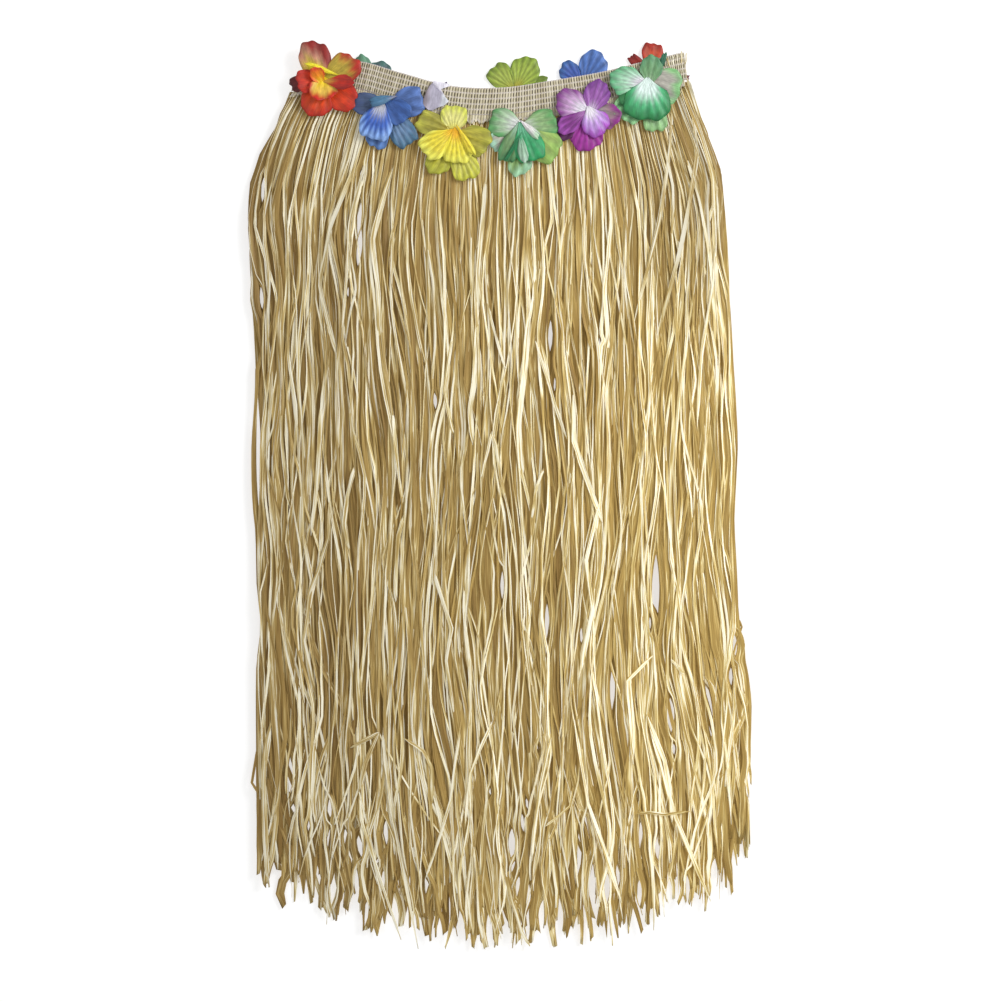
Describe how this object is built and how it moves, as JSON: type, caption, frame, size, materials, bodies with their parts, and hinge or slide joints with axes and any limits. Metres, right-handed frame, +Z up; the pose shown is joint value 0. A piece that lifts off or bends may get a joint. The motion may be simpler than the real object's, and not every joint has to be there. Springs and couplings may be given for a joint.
{
  "type": "grass skirt",
  "caption": "Raffia grass skirt laid flat, with a woven elastic waistband, long loose strands and cloth blossoms along the band.",
  "frame": {"origin": "on the surface the skirt lies on, under the middle of its outline", "axes": "+X to the right across the skirt, +Y from the hem to the waist, +Z up from the surface"},
  "size_m": [0.4619, 0.8449, 0.0199],
  "materials": {
    "woven_raffia_band": "coarse weave",
    "raffia_strands": "satin, ribbed lengthwise",
    "petals_red": "satin, pressed ribs",
    "petals_blue": "satin, pressed ribs",
    "petals_yellow": "satin, pressed ribs",
    "petals_green": "satin, pressed ribs",
    "petals_purple": "satin, pressed ribs",
    "petals_mint": "satin, pressed ribs",
    "petals_teal": "satin, pressed ribs",
    "petals_violet": "satin, pressed ribs",
    "petals_lime": "satin, pressed ribs",
    "petals_azure": "satin, pressed ribs",
    "petals_scarlet": "satin, pressed ribs",
    "petal_lilac": "satin"
  },
  "bodies": {
    "root": {"waistband": "woven_raffia_band", "fringe_back_outer": "raffia_strands", "fringe_back_inner": "raffia_strands", "fringe_front_inner": "raffia_strands", "fringe_front_outer": "raffia_strands", "blossom_red_outer": "petals_red", "blossom_red_inner": "petals_red", "blossom_blue_outer": "petals_blue", "blossom_blue_inner": "petals_blue", "blossom_yellow_outer": "petals_yellow", "blossom_yellow_inner": "petals_yellow", "blossom_green_outer": "petals_green", "blossom_green_inner": "petals_green", "blossom_purple_outer": "petals_purple", "blossom_purple_inner": "petals_purple", "blossom_mint_outer": "petals_mint", "blossom_mint_inner": "petals_mint", "blossom_back_teal_outer": "petals_teal", "blossom_back_teal_inner": "petals_teal", "blossom_back_violet_outer": "petals_violet", "blossom_back_violet_inner": "petals_violet", "blossom_back_lime_outer": "petals_lime", "blossom_back_lime_inner": "petals_lime", "blossom_back_azure_outer": "petals_azure", "blossom_back_azure_inner": "petals_azure", "blossom_back_scarlet_outer": "petals_scarlet", "blossom_back_scarlet_inner": "petals_scarlet", "blossom_back_violet_turned_petal": "petal_lilac"}
  },
  "joints": []
}
